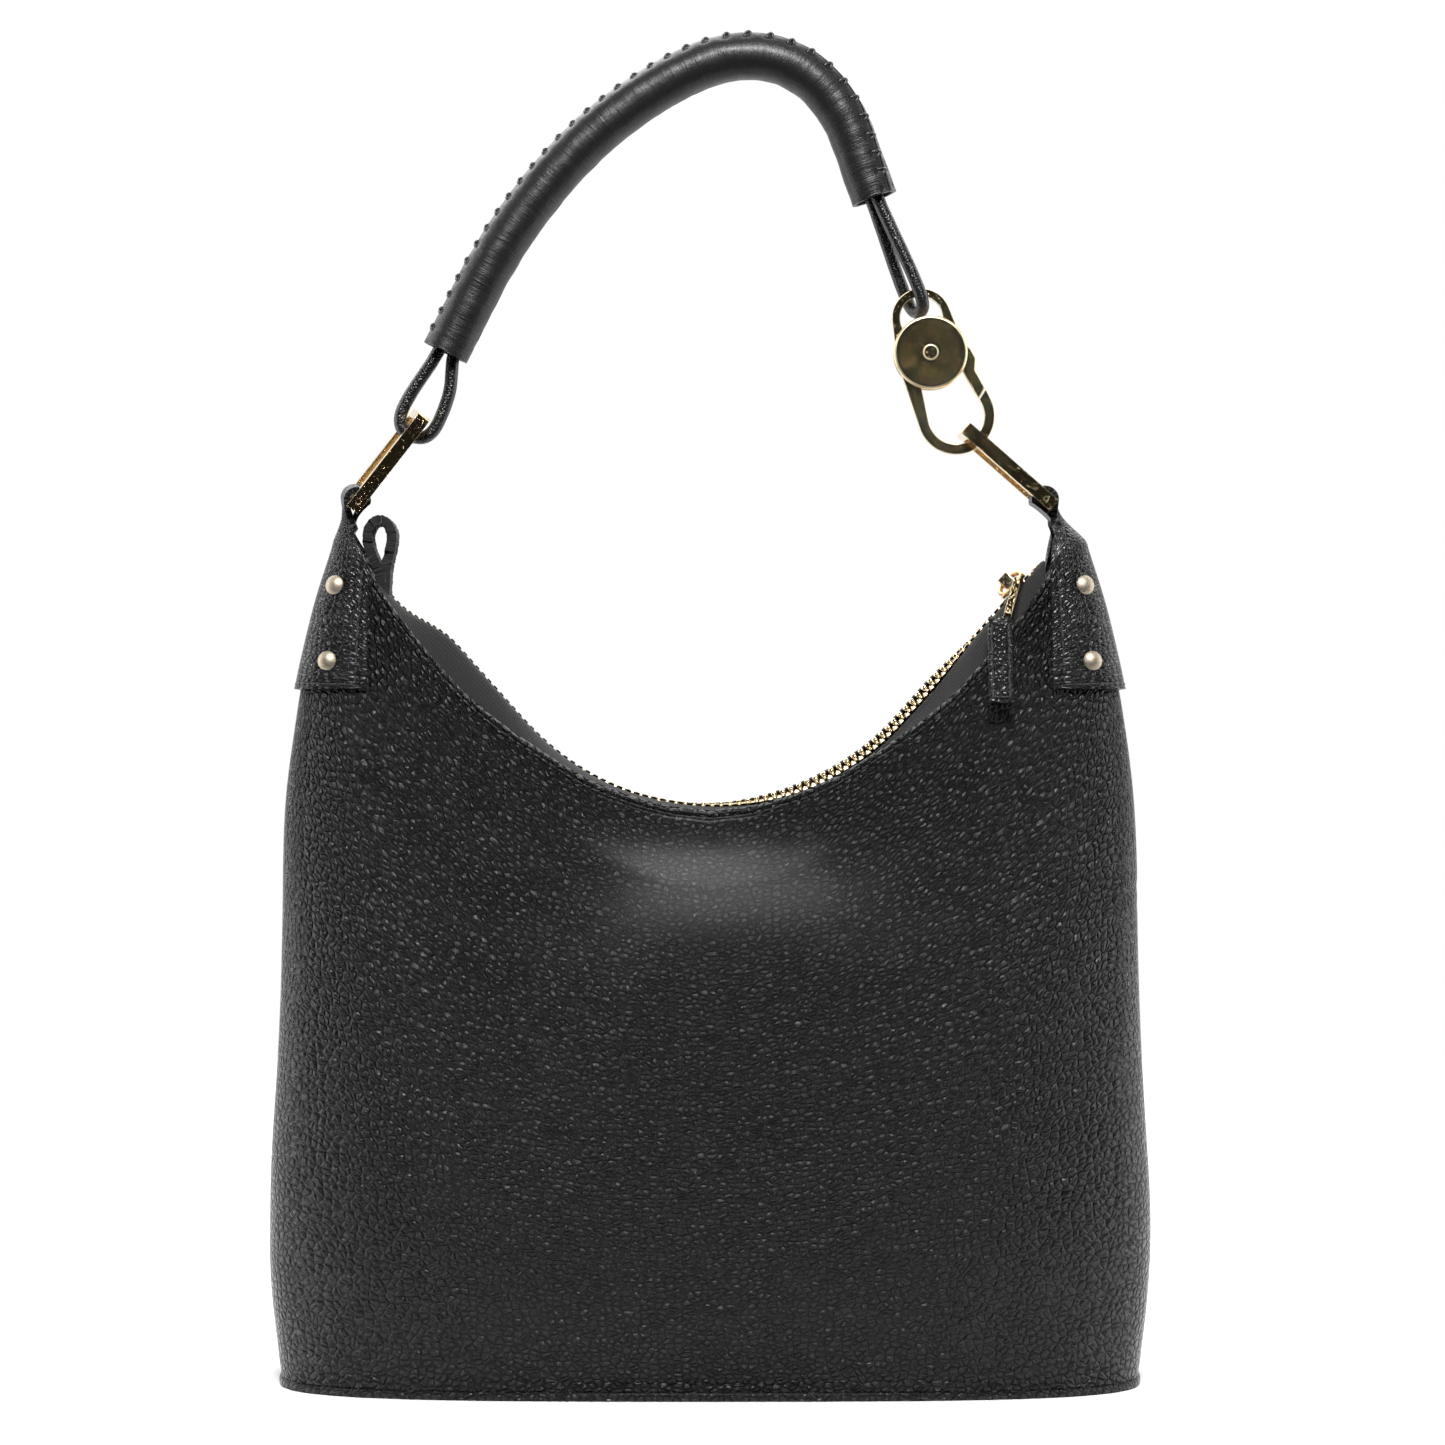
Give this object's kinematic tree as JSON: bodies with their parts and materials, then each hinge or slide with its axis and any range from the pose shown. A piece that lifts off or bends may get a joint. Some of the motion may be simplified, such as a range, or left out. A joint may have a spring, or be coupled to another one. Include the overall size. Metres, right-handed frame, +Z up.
{
  "type": "hobo bag",
  "caption": "Slouchy leather shoulder bag with a dipped zip mouth, stiffened oval base and a rolled handle on U shackles and a snap clip.",
  "frame": {"origin": "middle of the base's underside", "axes": "+Z up, +Y to the back, +X to the right when the front is seen"},
  "size_m": [0.2806, 0.0962, 0.4297],
  "materials": {
    "grained_leather": "black pebbled grain, soft sheen",
    "trim_leather": "black grain, flat stitched trim",
    "handle_leather": "black, smooth, rolled",
    "cord_leather": "black, smooth round cord",
    "lining": "black woven lining",
    "board": "stiffener board",
    "zip_tape": "black herringbone tape",
    "zip_metal": "polished gold teeth",
    "gold": "polished gold plate",
    "pale_gold": "satin pale gold",
    "core_rope": "handle filler",
    "thread": "waxed black thread",
    "spring_steel": "spring steel"
  },
  "bodies": {
    "bag": {"front_panel": "grained_leather", "back_panel": "grained_leather", "base_panel": "grained_leather", "base_board": "board", "lining_front": "lining", "lining_back": "lining", "lining_base": "lining", "slip_pocket": "lining", "zip_tape_front": "zip_tape", "zip_tape_back": "zip_tape", "zip_end_loop": "zip_tape", "zip_teeth_front": "zip_metal", "zip_teeth_back": "zip_metal", "zip_stops": "zip_metal", "left_tab": "trim_leather", "right_tab": "trim_leather", "tab_rivets_left": "pale_gold", "tab_rivets_right": "pale_gold"},
    "left_shackle": {"left_shackle": "gold", "left_shackle_pin": "gold"},
    "right_shackle": {"right_shackle": "gold", "right_shackle_pin": "gold"},
    "handle": {"handle_sleeve": "handle_leather", "handle_core": "core_rope", "handle_lacing": "thread", "cord_loop_left": "cord_leather", "cord_loop_right": "cord_leather"},
    "clip": {"clip_frame": "gold", "clip_disc_front": "gold", "clip_disc_back": "gold", "clip_screw": "gold", "gate_pin": "gold", "gate_spring": "spring_steel"},
    "gate": {"clip_gate": "gold"},
    "slider": {"zip_slider": "gold"},
    "ring": {"pull_ring": "gold"},
    "pull": {"pull_clasp": "gold", "pull_tab": "trim_leather"}
  },
  "joints": [
    {"name": "handle_swing", "type": "hinge", "parent": "bag", "child": "handle", "pos_m": [-0.09512, 0, 0.30189], "axis": [0.9998, 0, -0.0196], "range_deg": [-12, 30]},
    {"name": "left_shackle_swing", "type": "hinge", "parent": "bag", "child": "left_shackle", "pos_m": [-0.1134, 0, 0.2808], "axis": [-0.1773, 0.9744, 0.1385], "range_deg": [-0.3, 0.3]},
    {"name": "right_shackle_swing", "type": "hinge", "parent": "bag", "child": "right_shackle", "pos_m": [0.1068, 0, 0.2804], "axis": [0, 1, 0], "range_deg": [0, 5]},
    {"name": "clip_swing", "type": "hinge", "parent": "handle", "child": "clip", "pos_m": [0.06487, 0, 0.34632], "axis": [0, 1, 0], "range_deg": [-1.5, 1]},
    {"name": "gate_open", "type": "hinge", "parent": "clip", "child": "gate", "pos_m": [0.08058, 0, 0.3277], "axis": [0, 1, 0], "range_deg": [0, 25], "stiffness_Nm_per_rad": 0.04, "springref_deg": -8.59},
    {"name": "zip_slide", "type": "slide", "parent": "bag", "child": "slider", "axis": [0.6681, 0, 0.7441], "range_m": [-0.04, 0]},
    {"name": "ring_swing", "type": "hinge", "parent": "slider", "child": "ring", "pos_m": [0.09484, 0, 0.25457], "axis": [-0.6681, 0, -0.7441], "range_deg": [0, 100]},
    {"name": "pull_swing", "type": "hinge", "parent": "ring", "child": "pull", "pos_m": [0.09713, -0.00846, 0.25252], "axis": [-0.6681, 0, -0.7441], "range_deg": [0, 40]}
  ]
}
